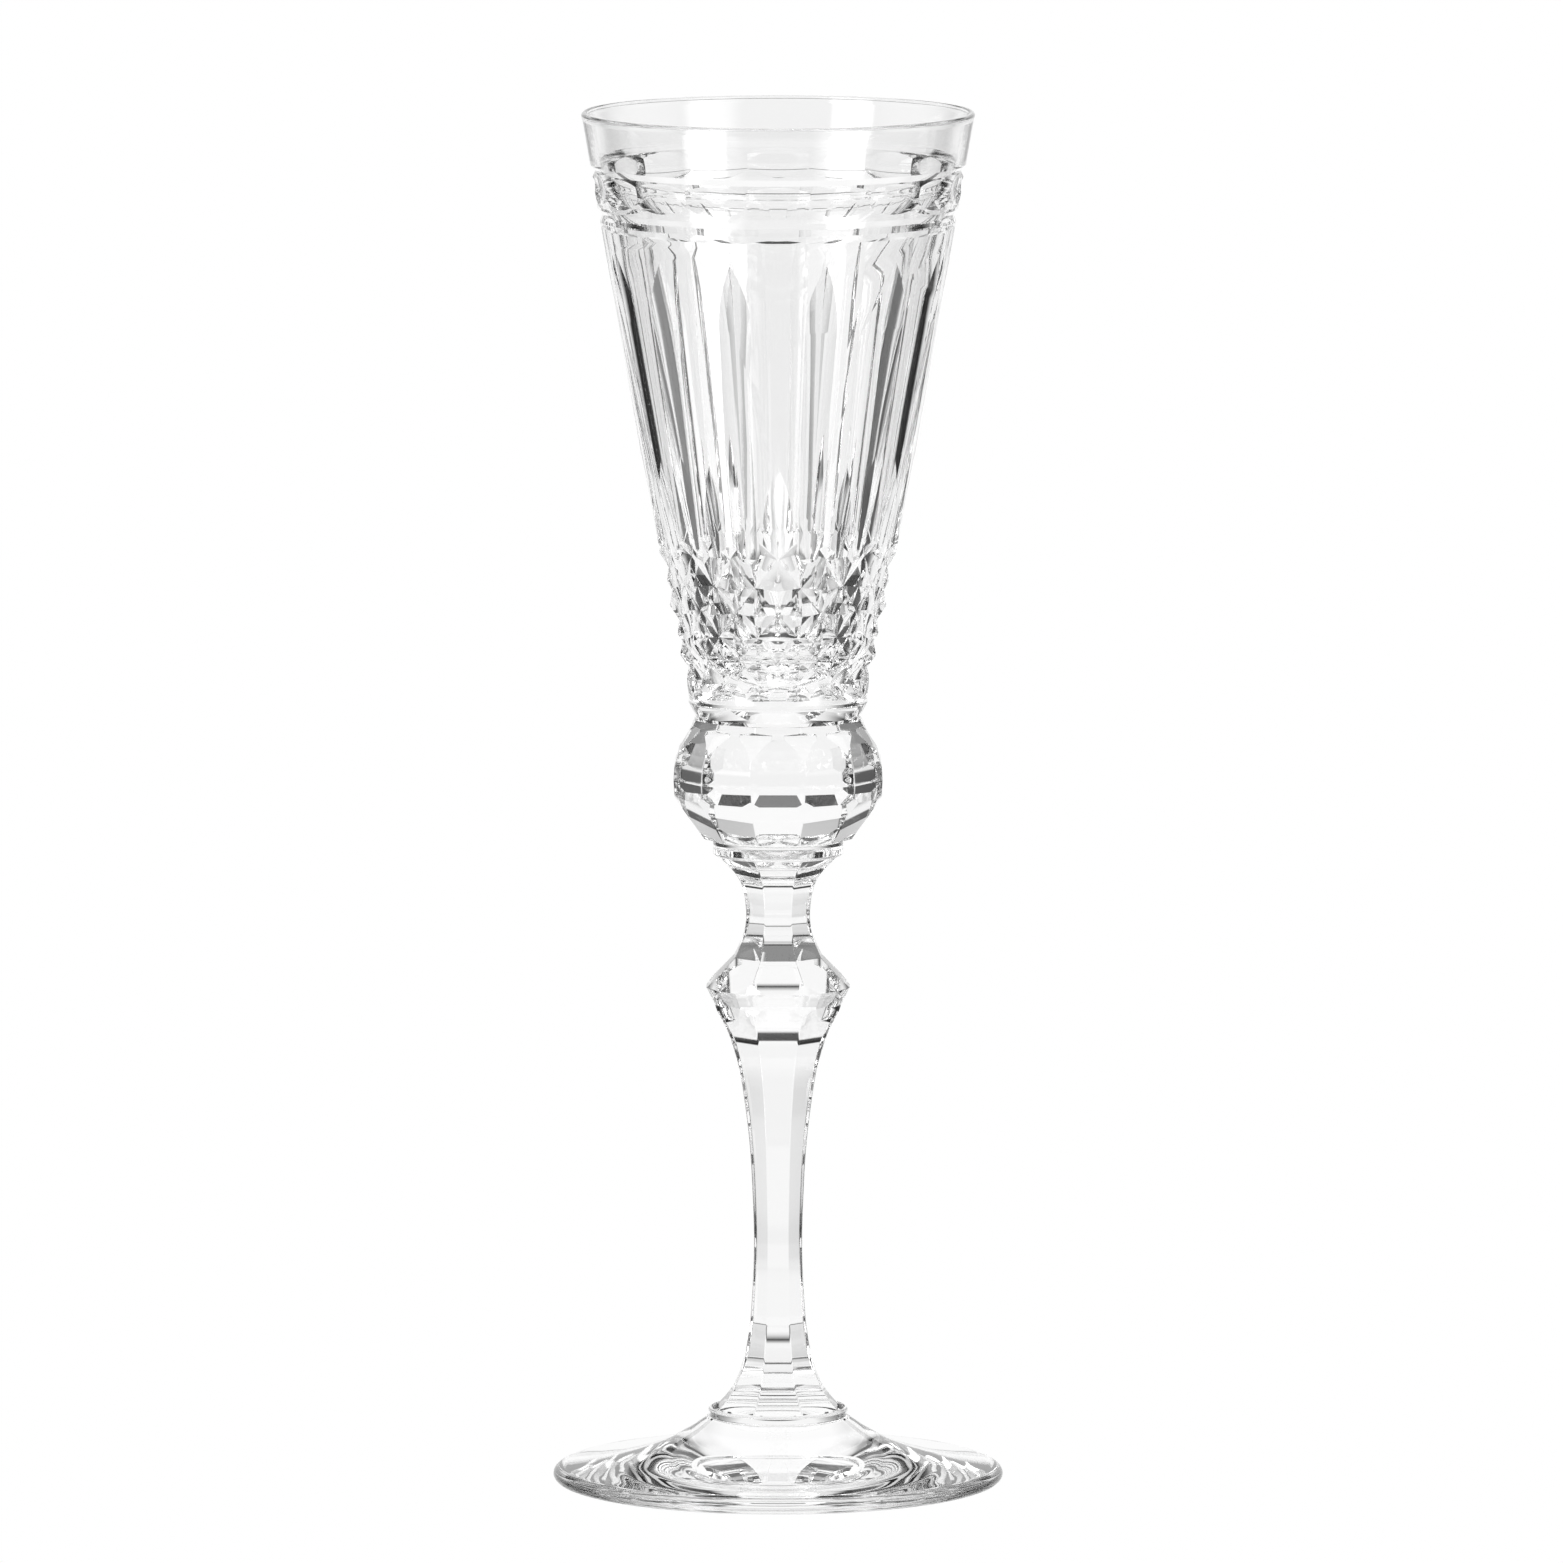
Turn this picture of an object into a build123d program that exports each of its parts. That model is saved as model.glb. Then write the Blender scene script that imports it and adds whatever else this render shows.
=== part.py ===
from build123d import *
from math import cos, radians, sin
import os

# A cut-crystal champagne flute: six gathers of clear glass, fused hot to each other, one above the other.
# Millimetres, +Z up. The origin is the centre of the flat underside of the foot.

# Bowl: a straight cone outside, whose radius is RIM_RADIUS at the rim and falls by BOWL_TAPER for
# each mm down
RIM_HEIGHT = 240.6
RIM_RADIUS = 34.25
BOWL_TAPER = 0.174
RIM_WALL = 1.1
RIM_ROUNDING = 0.5

# Cavity: a straight cone inside, closed by a sphere that the cone is tangent to
CAVITY_TAPER = 0.2116
CAVITY_FLOOR = 139.0
CAVITY_MIDDLE_TURN = 39  # degrees round the sphere, from its foot, to a point about half way to the cone
ABOVE_RIM = 5.0  # how far the cutter of the cavity stands above the rim

# Two turned grooves, with a band of hollow ovals between them
GROOVE_DEPTH = 0.65
GROOVE_HALF_HEIGHT = 1.15
UPPER_GROOVE_HEIGHT = 230.4
LOWER_GROOVE_HEIGHT = 222.8
PANELS = 18
OVAL_HEIGHT = 226.6
OVAL_DEPTH = 0.85
OVAL_TALL = 5.7
OVAL_FILL = 0.96  # of the pitch from one oval to the next

# Flat panels, with pointed V cuts along them: long ones in pairs, short ones between
PANELS_TOP = 220.4
LONG_CUT_ANGLE = 16.4  # each side of every third panel
LONG_CUT_HALF_ANGLE = 6.0
LONG_CUT_TIP = 216.4
SHORT_CUT_HALF_ANGLE = 7.0
SHORT_CUT_TIP = 181.0
CUT_POINT_LENGTH = 12.0
CUT_DEPTH = 1.15
CUTS_BOTTOM = 164.5
CUTTER_REACH = 1.5  # how far the wedge of a cut stands out of the glass
POINT_CLEARANCE = 0.2
POINT_OVERRUN = 4.0  # along the valley, past the tip

# Band of diamonds: pyramids between V grooves that cross, a little steeper than 45 degrees
DIAMONDS = 14
DIAMOND_ROWS = 6
DIAMOND_STEEPNESS = 1.08  # height of half a diamond for its half width
DIAMONDS_TOP = 163.9
DIAMONDS_TOP_RADIUS = 20.75
DIAMONDS_TAPER = 0.2045
DIAMOND_DEPTH = 1.6

# Foot of the bowl, where it is fused to the bulb
BOWL_FOOT_RADIUS = 15.6
BOWL_FOOT_HEIGHT = 137.3
BOWL_FOOT_STEP = 0.2  # how far the plain foot starts inside the points of the diamonds
WAIST_HEIGHT = 134.5
WAIST_RADIUS = 14.4
WAIST_BAND = 0.6

# Bulb: twelve flat sides, given as height and distance of the side from the axis
BULB_SIDES = 12
BULB_BOTTOM = 113.6
BULB_WIDEST = 18.24
BULB_PROFILE = [(WAIST_HEIGHT, 14.4), (131.0, 16.1), (128.9, 17.3), (126.8, 18.05), (124.1, BULB_WIDEST),
                (121.0, 18.05), (BULB_BOTTOM, 12.9)]
# height, side distance and slope of the corner cuts
BULB_KITES = [(131.0, 16.1, 38.0), (121.0, 18.05, -28.0)]
BULB_KITE_DEPTH = 0.30
KITE_CUTTER = (20.0, 20.0, 5.0)

# Upper collar, a flat round disc
UPPER_COLLAR_RADIUS = 11.35
UPPER_COLLAR_BOTTOM = 110.4
COLLAR_ROUNDING = 0.6

# Stem: eight flat sides all the way down, as a waisted neck, a sharp-edged knop and a long leg
STEM_SIDES = 8
STEM_BOTTOM = 12.9
NECK_PROFILE = [(UPPER_COLLAR_BOTTOM, 10.1), (108.6, 8.4), (106.5, 6.85), (103.9, 6.0), (100.0, 5.55),
                (96.1, 6.15), (92.6, 7.6)]
KNOP_HEIGHT = 87.3
KNOP_RADIUS = 12.7
KNOP_SIDE = 12.55
KNOP_EDGE_SLOPE = 0.5
KNOP_EDGE_HEIGHT = 3.0  # of the double cone's thin part, each way from the edge
KNOP_CLEAR_RADIUS = 20.0
LEG_TOP = (84.0, 10.9)
LEG_PROFILE = [(80.6, 9.2), (77.8, 8.1), (72.5, 6.74), (65.4, 5.6), (58.3, 4.85), (49.5, 4.38), (42.4, 4.2),
               (35.3, 4.4), (28.2, 4.85)]
FLARE_PROFILE = [(22.9, 5.65), (19.9, 6.35), (16.9, 7.5), (14.9, 8.75), (STEM_BOTTOM, 10.4)]

# Lower collar and foot
LOWER_COLLAR_RADIUS = 12.2
LOWER_COLLAR_BOTTOM = 11.1
LOWER_COLLAR_ROUNDING = 0.5
FOOT_RADIUS = 39.4
FOOT_EDGE = 2.6
FOOT_EDGE_TOP = (FOOT_RADIUS - 2.0, FOOT_EDGE)
FOOT_EDGE_WIDEST = (FOOT_RADIUS, 0.45 * FOOT_EDGE)
FOOT_EDGE_BOTTOM = (FOOT_RADIUS - 1.2, 0)
FOOT_SWEEP = [(12.6, LOWER_COLLAR_BOTTOM), (15.4, 9.1), (20.5, 6.3), (27.5, 4.15), FOOT_EDGE_TOP]
FOOT_SWEEP_START = (0.75, 0, -1)
FOOT_SWEEP_END = (1, 0, -0.12)


def outer_radius(height):
    """The bowl's outer cone."""
    return RIM_RADIUS - BOWL_TAPER * (RIM_HEIGHT - height)


def cavity_radius(height):
    """The cone of the cavity, before the sphere closes it."""
    return RIM_RADIUS - RIM_WALL - CAVITY_TAPER * (RIM_HEIGHT - height)


def around(angle, radius, height):
    """A point at that angle from the front, which faces -Y."""
    return (radius * sin(radians(angle)), -radius * cos(radians(angle)), height)


def turned(*lines):
    """A solid of revolution about Z from lines in the XZ plane that end on the axis."""
    return revolve(make_face(Wire(lines)), Axis.Z)


def faceted(profile_line, bottom, top, sides, reach):
    """A solid with that many equal sides: a slab with the profile on both faces, turned and intersected."""
    closing = Polyline(profile_line @ 1, (0, 0, bottom), (0, 0, top), profile_line @ 0)
    half = make_face(Wire([*profile_line.edges(), *closing.edges()]))
    slab = extrude(half + mirror(half, Plane.YZ), reach, both=True)
    solid = slab
    for turn in range(1, sides // 2):
        solid = solid & slab.rotate(Axis.Z, turn * 360 / sides)
    return solid


def cavity():
    """The hollow of the bowl: the cone and the sphere at its foot."""
    slope = CAVITY_TAPER
    lean = (1 + slope**2) ** 0.5
    floor_radius = cavity_radius(CAVITY_FLOOR) / (lean - slope)
    centre = CAVITY_FLOOR + floor_radius
    join = (floor_radius / lean, 0, centre - floor_radius * slope / lean)
    turn = radians(CAVITY_MIDDLE_TURN)
    bend = (floor_radius * sin(turn), 0, centre - floor_radius * cos(turn))
    above = RIM_HEIGHT + ABOVE_RIM
    return turned(
        ThreePointArc((0, 0, CAVITY_FLOOR), bend, join),
        Line(join, (cavity_radius(above), 0, above)),
        Line((cavity_radius(above), 0, above), (0, 0, above)),
        Line((0, 0, above), (0, 0, CAVITY_FLOOR)),
    )


def groove_points(height):
    """A V groove turned into the outer cone, from its top down."""
    top = height + GROOVE_HALF_HEIGHT
    bottom = height - GROOVE_HALF_HEIGHT
    return [(outer_radius(top), 0, top), (outer_radius(height) - GROOVE_DEPTH, 0, height),
            (outer_radius(bottom), 0, bottom)]


def bowl_top():
    """The plain band under the rim, the two grooves and the band between them, solid to the axis."""
    outline = Polyline(
        (0, 0, RIM_HEIGHT),
        (RIM_RADIUS, 0, RIM_HEIGHT),
        *groove_points(UPPER_GROOVE_HEIGHT),
        *groove_points(LOWER_GROOVE_HEIGHT),
        (outer_radius(PANELS_TOP), 0, PANELS_TOP),
        (0, 0, PANELS_TOP),
        close=True,
    )
    return revolve(make_face(outline), Axis.Z)


def panel_cone():
    """The part with flat panels, solid to the axis. The edges between panels lie on the outer cone."""
    step = 360 / PANELS
    rings = []
    for height in (DIAMONDS_TOP, PANELS_TOP):
        corners = [around(step * (k + 0.5), outer_radius(height), height) for k in range(PANELS)]
        rings.append(Wire.make_polygon(corners))
    return Solid.make_loft(rings, True)


def diamond_levels():
    """Heights of the rows where the grooves cross: each step is half a diamond."""
    heights = [DIAMONDS_TOP]
    for _ in range(DIAMOND_ROWS - 1):
        half_width = diamond_radius(heights[-1]) * radians(180 / DIAMONDS)
        heights.append(heights[-1] - half_width * DIAMOND_STEEPNESS)
    return heights


def diamond_radius(height):
    """How far the points of the diamonds are from the axis."""
    return DIAMONDS_TOP_RADIUS - DIAMONDS_TAPER * (DIAMONDS_TOP - height)


def triangle(*corners):
    return Face(Wire.make_polygon(corners))


def diamond_band():
    """The band of pyramids as one closed solid of flat triangles, cut level at its first and last row."""
    levels = diamond_levels()
    half_step = 180 / DIAMONDS
    last = DIAMOND_ROWS - 1

    def crossing(column, row):
        return around(column * half_step, diamond_radius(levels[row]) - DIAMOND_DEPTH, levels[row])

    def point(column, row):
        return around(column * half_step, diamond_radius(levels[row]), levels[row])

    faces = []
    for row in range(DIAMOND_ROWS):
        for column in range(2 * DIAMONDS):
            if (column + row) % 2 == 0:
                continue
            left, right = crossing(column - 1, row), crossing(column + 1, row)
            tip = point(column, row)
            if row < last:
                below = crossing(column, row + 1)
                faces += [triangle(tip, left, below), triangle(tip, below, right)]
            if row > 0:
                above = crossing(column, row - 1)
                faces += [triangle(tip, above, left), triangle(tip, right, above)]
    for row in (0, last):
        ring = [point(c, row) if (c + row) % 2 else crossing(c, row) for c in range(2 * DIAMONDS)]
        faces.append(Face(Wire.make_polygon(ring)))
    return Solid(Shell(faces))


def bowl_foot():
    """The plain turned foot of the bowl, drawn in to the waist."""
    top = diamond_levels()[-1]
    outline = Polyline(
        (0, 0, top),
        (diamond_radius(top) - BOWL_FOOT_STEP, 0, top),
        (BOWL_FOOT_RADIUS, 0, BOWL_FOOT_HEIGHT),
        (WAIST_RADIUS, 0, WAIST_HEIGHT + WAIST_BAND),
        (WAIST_RADIUS, 0, WAIST_HEIGHT),
        (0, 0, WAIST_HEIGHT),
        close=True,
    )
    return revolve(make_face(outline), Axis.Z)


def v_section(angle, half_angle, height):
    """The triangle of a V cut: its valley in the glass, and its two sides carried on past the surface."""
    radius = outer_radius(height) * cos(radians(180 / PANELS))
    left = Vector(*around(angle - half_angle, radius, height))
    right = Vector(*around(angle + half_angle, radius, height))
    valley = Vector(*around(angle, radius - CUT_DEPTH, height))
    outward = Vector(*around(angle, CUTTER_REACH, 0))
    spread = (right - left).normalized() * CUTTER_REACH * radius * radians(half_angle) / CUT_DEPTH
    return Wire.make_polygon([valley, left + outward - spread, right + outward + spread])


def v_cut(angle, half_angle, tip):
    """The wedge that a pointed V cut takes out of the panels, with its point up."""
    shoulder = tip - CUT_POINT_LENGTH
    lowest = v_section(angle, half_angle, CUTS_BOTTOM)
    highest = v_section(angle, half_angle, shoulder)
    above = Vector(*around(angle, outer_radius(tip) + POINT_CLEARANCE, tip))
    rise = (above - Vector(*around(angle, outer_radius(shoulder) - CUT_DEPTH, shoulder))).normalized()
    end = above + rise * POINT_OVERRUN
    return Solid.make_loft([lowest, highest], True) + Solid.make_loft([highest, Vertex(*end)], True)


def oval_cuts():
    """The hollow ovals, as a wheel with a round edge cuts them: one above each flat panel."""
    radius = outer_radius(OVAL_HEIGHT)
    half_width = OVAL_FILL * radius * sin(radians(180 / PANELS))
    wheel = half_width**2 / (2 * (OVAL_DEPTH - half_width**2 / (2 * radius)))
    edge = (OVAL_TALL / 2) ** 2 / (2 * OVAL_DEPTH)
    centre = radius - OVAL_DEPTH + wheel
    lean = Plane(origin=around(0, centre, OVAL_HEIGHT), z_dir=(0, BOWL_TAPER, 1))
    cutter = lean * Torus(wheel - edge, edge)
    return [cutter.rotate(Axis.Z, k * 360 / PANELS) for k in range(PANELS)]


def make_bowl():
    """The bowl: the outer form, then every cut, the hollow of the cup and the rounded rim."""
    solid = bowl_top() + panel_cone() + diamond_band() + bowl_foot()
    group = 3 * 360 / PANELS
    for k in range(PANELS // 3):
        for side in (-1, 1):
            solid = solid - v_cut(k * group + side * LONG_CUT_ANGLE, LONG_CUT_HALF_ANGLE, LONG_CUT_TIP)
        for turn in (0, group / 2):
            solid = solid - v_cut(k * group + turn, SHORT_CUT_HALF_ANGLE, SHORT_CUT_TIP)
    for cutter in oval_cuts():
        solid = solid - cutter
    solid = solid - cavity()
    rim_edges = solid.edges().filter_by(GeomType.CIRCLE).group_by(Axis.Z)[-1]
    return fillet(rim_edges, RIM_ROUNDING)


def make_bulb():
    """The twelve-sided bulb, with a small kite-shaped cut on each corner above and below its widest band."""
    line = Polyline(*[(distance, 0, height) for height, distance in BULB_PROFILE])
    solid = faceted(line, BULB_BOTTOM, WAIST_HEIGHT, BULB_SIDES, 2 * BULB_WIDEST)
    half_step = 180 / BULB_SIDES
    for height, distance, slope in BULB_KITES:
        corner = distance / cos(radians(half_step)) - BULB_KITE_DEPTH
        for k in range(BULB_SIDES):
            angle = (2 * k + 1) * half_step
            facing = Vector(*around(angle, cos(radians(slope)), sin(radians(slope))))
            block = Box(*KITE_CUTTER, align=(Align.CENTER, Align.CENTER, Align.MIN))
            solid = solid - Plane(origin=around(angle, corner, height), z_dir=facing) * block
    return solid


def make_disc(radius, bottom, top, rounding):
    """A flat round collar with a rounded edge."""
    disc = Pos(0, 0, bottom) * Cylinder(radius, top - bottom, align=(Align.CENTER, Align.CENTER, Align.MIN))
    return fillet(disc.edges().filter_by(GeomType.CIRCLE), rounding)


def make_stem():
    """Neck, knop and leg, cut as one with eight sides. A double cone gives the knop its round sharp edge."""
    neck = Spline(*[(distance, 0, height) for height, distance in NECK_PROFILE])
    crown = Line(neck @ 1, (KNOP_SIDE, 0, KNOP_HEIGHT))
    pavilion = Line(crown @ 1, (LEG_TOP[1], 0, LEG_TOP[0]))
    leg_points = [pavilion @ 1, *[(distance, 0, height) for height, distance in LEG_PROFILE]]
    leg = Spline(*leg_points)
    flare = Polyline(leg @ 1, *[(distance, 0, height) for height, distance in FLARE_PROFILE])
    outline = Wire([neck, crown, pavilion, leg, *flare.edges()])
    cut = faceted(outline, STEM_BOTTOM, UPPER_COLLAR_BOTTOM, STEM_SIDES, 2 * KNOP_RADIUS)
    narrow = KNOP_RADIUS - KNOP_EDGE_HEIGHT * KNOP_EDGE_SLOPE
    envelope = Polyline(
        (0, 0, UPPER_COLLAR_BOTTOM),
        (KNOP_CLEAR_RADIUS, 0, UPPER_COLLAR_BOTTOM),
        (narrow, 0, KNOP_HEIGHT + KNOP_EDGE_HEIGHT),
        (KNOP_RADIUS, 0, KNOP_HEIGHT),
        (narrow, 0, KNOP_HEIGHT - KNOP_EDGE_HEIGHT),
        (KNOP_CLEAR_RADIUS, 0, STEM_BOTTOM),
        (0, 0, STEM_BOTTOM),
        close=True,
    )
    return cut & revolve(make_face(envelope), Axis.Z)


def make_foot():
    """A thin round disc that sweeps up to the lower collar, flat underneath."""
    points = [(radius, 0, height) for radius, height in FOOT_SWEEP]
    sweep = Spline(*points, tangents=[FOOT_SWEEP_START, FOOT_SWEEP_END])
    widest, lowest = [(radius, 0, height) for radius, height in (FOOT_EDGE_WIDEST, FOOT_EDGE_BOTTOM)]
    edge = ThreePointArc(sweep @ 1, widest, lowest)
    return turned(
        Line((0, 0, LOWER_COLLAR_BOTTOM), sweep @ 0),
        sweep,
        edge,
        Line(edge @ 1, (0, 0, 0)),
        Line((0, 0, 0), (0, 0, LOWER_COLLAR_BOTTOM)),
    )


def main():
    """Every piece, one STEP file each."""
    pieces = {
        "bowl": make_bowl(),
        "bulb": make_bulb(),
        "upper_collar": make_disc(UPPER_COLLAR_RADIUS, UPPER_COLLAR_BOTTOM, BULB_BOTTOM, COLLAR_ROUNDING),
        "stem": make_stem(),
        "lower_collar": make_disc(
            LOWER_COLLAR_RADIUS, LOWER_COLLAR_BOTTOM, STEM_BOTTOM, LOWER_COLLAR_ROUNDING
        ),
        "foot": make_foot(),
    }
    os.makedirs("parts", exist_ok=True)
    for name, shape in pieces.items():
        export_step(shape, f"parts/{name}.step")


main()
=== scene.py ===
"""A cut-crystal champagne flute on a plain pale table, in soft studio light."""

from math import atan2, cos, degrees, log, pi, radians, sin, sqrt

import bmesh
import bpy
from mathutils import Matrix, Vector


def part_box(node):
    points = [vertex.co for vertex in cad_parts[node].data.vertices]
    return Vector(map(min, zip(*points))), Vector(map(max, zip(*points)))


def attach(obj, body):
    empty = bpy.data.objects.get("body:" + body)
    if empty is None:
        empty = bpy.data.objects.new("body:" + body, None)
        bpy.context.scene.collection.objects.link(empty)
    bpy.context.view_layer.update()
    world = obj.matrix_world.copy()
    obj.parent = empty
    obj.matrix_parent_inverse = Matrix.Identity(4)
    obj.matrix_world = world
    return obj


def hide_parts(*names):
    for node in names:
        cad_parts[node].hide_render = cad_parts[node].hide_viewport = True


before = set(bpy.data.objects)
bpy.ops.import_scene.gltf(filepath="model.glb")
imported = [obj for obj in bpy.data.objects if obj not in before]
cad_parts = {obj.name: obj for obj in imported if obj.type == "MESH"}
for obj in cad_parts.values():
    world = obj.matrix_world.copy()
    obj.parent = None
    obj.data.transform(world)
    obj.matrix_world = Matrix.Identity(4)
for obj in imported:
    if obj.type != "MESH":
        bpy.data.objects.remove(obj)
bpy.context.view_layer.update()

# Lengths below are in millimetres; MM turns the finished meshes into metres.
MM = 0.001

# Levels and radii that the frame gives
RIM_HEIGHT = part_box("bowl")[1].z / MM
RIM_RADIUS = 34.25
WAIST_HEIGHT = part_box("bowl")[0].z / MM
BULB_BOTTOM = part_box("bulb")[0].z / MM
UPPER_COLLAR_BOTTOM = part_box("upper_collar")[0].z / MM
UPPER_COLLAR_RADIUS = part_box("upper_collar")[1].x / MM
STEM_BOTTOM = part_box("stem")[0].z / MM
LOWER_COLLAR_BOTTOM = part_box("lower_collar")[0].z / MM
LOWER_COLLAR_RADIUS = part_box("lower_collar")[1].x / MM
FOOT_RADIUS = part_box("foot")[1].x / MM

# Bowl: a straight cone outside, and inside a cone closed by a sphere that it is tangent to
BOWL_TAPER = 0.174
RIM_WALL = 1.1
CAVITY_TAPER = 0.2116
CAVITY_FLOOR = 139.0
WAIST_RADIUS = 14.4
WAIST_BAND = 0.6
WAIST_SEAM_MARGIN = 1.0

# Two turned grooves, with a band of hollow ovals between them
GROOVES = (230.4, 222.8)
GROOVE_DEPTH = 0.65
GROOVE_HALF_HEIGHT = 1.15
OVAL_HEIGHT = 226.6
OVAL_DEPTH = 0.85
OVAL_TALL = 5.7
OVAL_FILL = 0.985
OVAL_SWEEP = 12.0  # degrees of the wheel, to each side
OVAL_EDGE_SWEEP = 48.0  # degrees of its round edge, up and down

# Flat panels, with pointed V cuts along them
PANELS = 18
PANELS_TOP = 220.4
PANEL_RUN_OUT = 1.2
PANEL_OVERLAP = 1.25  # width of a cutter for the width of its panel
LONG_CUT_ANGLE = 16.4
LONG_CUT_HALF_ANGLE = 6.0
LONG_CUT_TIP = 216.4
SHORT_CUT_HALF_ANGLE = 7.0
SHORT_CUT_TIP = 181.0
CUT_POINT_LENGTH = 12.0
CUT_DEPTH = 1.15
CUTS_BOTTOM = 164.5
CUT_END_SLOPE = 1.2

# Diamonds between V grooves that cross at nearly 45 degrees
DIAMONDS = 14
DIAMOND_STEEPNESS = 1.08  # height of half a diamond for its half width
DIAMONDS_TOP = 163.9
DIAMONDS_BOTTOM = 140.9
DIAMONDS_TOP_RADIUS = 20.75
DIAMONDS_TAPER = 0.2045
DIAMOND_DEPTH = 1.6
DIAMOND_RUN_OUT = 3.6
DIAMOND_LOWER_RUN_OUT = 1.6
GROOVE_ANGLE = radians(45)

# Foot of the bowl
BOWL_FOOT_RADIUS = 15.6
BOWL_FOOT_HEIGHT = 137.3
BOWL_FOOT_LIP = 2.6  # below the lowest diamonds

# Bulb: twelve flat sides, as height and distance of the side from the axis
BULB_SIDES = 12
BULB_CORNER_ROUNDING = 0.9
BULB_TOP = (WAIST_HEIGHT, WAIST_RADIUS)
BULB_BELLY = ((131.0, 16.1), (128.9, 17.3), (126.8, 18.0), (124.1, 18.24))
BULB_BASE = ((124.1, 18.24), (121.0, 18.05), (BULB_BOTTOM, 12.9))
# height, side distance, slope in degrees and depth of the corner cuts
BULB_KITES = ((131.0, 16.1, 38.0, 0.30), (121.0, 18.05, -28.0, 0.36))
KITE_REACH = 2.9

# Stem: eight flat sides
STEM_SIDES = 8
STEM_CORNER_ROUNDING = 0.45
NECK = ((UPPER_COLLAR_BOTTOM, 10.1), (108.6, 8.4), (106.5, 6.85), (103.9, 6.0), (100.0, 5.55), (96.1, 6.15),
        (92.6, 7.6))
KNOP_HEIGHT = 87.3
KNOP_RADIUS = 12.7
KNOP_SIDE = 12.55
KNOP_EDGE_SLOPE = 0.5
KNOP_EDGE_HEIGHT = 3.0  # of the double cone's thin part, each way from the edge
KNOP_CLEAR_RADIUS = 30.0
KNOP_CLEAR_HEIGHT = 90
LEG_TOP = (84.0, 10.9)
LEG = (LEG_TOP, (80.6, 9.2), (77.8, 8.1), (72.5, 6.74), (65.4, 5.6), (58.3, 4.85), (49.5, 4.38), (42.4, 4.2),
       (35.3, 4.4), (28.2, 4.85))
FLARE = ((28.2, 4.85), (22.9, 5.65), (19.9, 6.35), (16.9, 7.5), (14.9, 8.75), (STEM_BOTTOM, 10.4))

# Collars
UPPER_COLLAR_ROUNDING = 0.6
LOWER_COLLAR_ROUNDING = 0.5

# Foot
FOOT_EDGE = 2.6
FOOT_EDGE_WIDEST = 0.45  # share of the edge's height
FOOT_EDGE_TOP = 2.0
FOOT_EDGE_BOTTOM = 1.3
FOOT_EDGE_START = 84  # degrees
FOOT_SWEEP = ((12.6, LOWER_COLLAR_BOTTOM), (15.4, 9.1), (20.5, 6.3), (27.5, 4.15), (32.5, 3.25),
              (FOOT_RADIUS - FOOT_EDGE_TOP, FOOT_EDGE))

# Radii inside which a level face is a fused seam
BULB_SEAM = UPPER_COLLAR_RADIUS - 0.7
NECK_SEAM = 10.0
STEM_SEAM = 10.3
FOOT_SEAM = 11.5

# How finely curves are drawn
SEGMENTS = 360
DISC_PARTS = 18
RIM_PARTS = 36
SIDED_STEP = 0.2  # mm of height between rows
LEG_STEP = 0.25
FOOT_STEP = 0.4
FOOT_EDGE_PARTS = 24
CUT_PARTS = 36
GROOVE_PARTS = 96

# How far a cutter's block stands outside the glass
CUTTER_COVER = 3.0
GROOVE_COVER = 3.5
OVAL_COVER = 4.0
KITE_COVER = 2.0

# Glass
FACET_EDGE = 7.0  # degrees between faces that read as a cut edge
GLASS_IOR = 1.54
POLISH_WAVES = 90.0  # to the metre
POLISH_WAVE_HEIGHT = 2.0e-6  # metres

# The studio as the glass sees it, as brightness by direction: degrees from the far side, to the right
BACKDROP = (
    (-180, 0.05), (-44, 0.03), (-36, 0.4), (-28, 0.8), (-20, 0.97), (20, 0.97), (28, 0.85),
    (36, 0.5), (44, 0.03), (180, 0.05),
)
CEILING = (
    (-180, 0.1), (-147, 0.1), (-144, 4.0), (-121, 4.0), (-118, 0.1), (-100, 0.5), (-70, 1.0), (70, 1.0),
    (100, 0.5), (118, 0.1), (126, 2.0), (150, 1.5), (158, 0.1), (180, 0.1),
)
LOWER = (
    (-180, 0.25), (-150, 0.25), (-147, 0.1), (-144, 4.0), (-121, 4.0), (-118, 0.05), (-50, 0.03), (-36, 0.5),
    (-26, 0.97), (26, 0.97), (36, 0.5), (50, 0.03), (118, 0.05), (126, 2.0), (150, 1.5),
    (158, 0.25), (180, 0.25),
)
TABLE = (
    (-180, 1.0), (-80, 1.0), (-76, 0.03), (-52, 0.03), (-42, 0.9), (-30, 1.0), (30, 1.0),
    (42, 0.9), (52, 0.03), (76, 0.03), (80, 1.0), (180, 1.0),
)
# How far each is seen, by degrees above the horizon
BACKDROP_HEIGHT = ((-90, 1.0), (5, 1.0), (10, 0.0), (90, 0.0))
LOWER_HEIGHT = ((-90, 1.0), (-19, 1.0), (-18, 0.0), (90, 0.0))
TABLE_HEIGHT = ((-90, 0.0), (-19, 0.0), (-18, 1.0), (-12, 1.0), (-10.5, 0.0), (90, 0.0))
GAP_HEIGHT = (
    (-90, 0.0), (-42.6, 0.0), (-42, 1.0), (-39, 1.0), (-38.4, 0.0), (-19.7, 0.0), (-19.3, 1.0),
    (-18.9, 1.0), (-18.5, 0.0), (17.5, 0.0), (18.5, 1.0), (24, 1.0), (25.5, 0.0), (90, 0.0),
)
WHITE_HEIGHT = ((-90, 1.0), (-52, 1.0), (-44, 0.0), (52, 0.0), (62, 1.0), (90, 1.0))
GAP = 0.02
BRIGHTEST = 4.0

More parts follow.
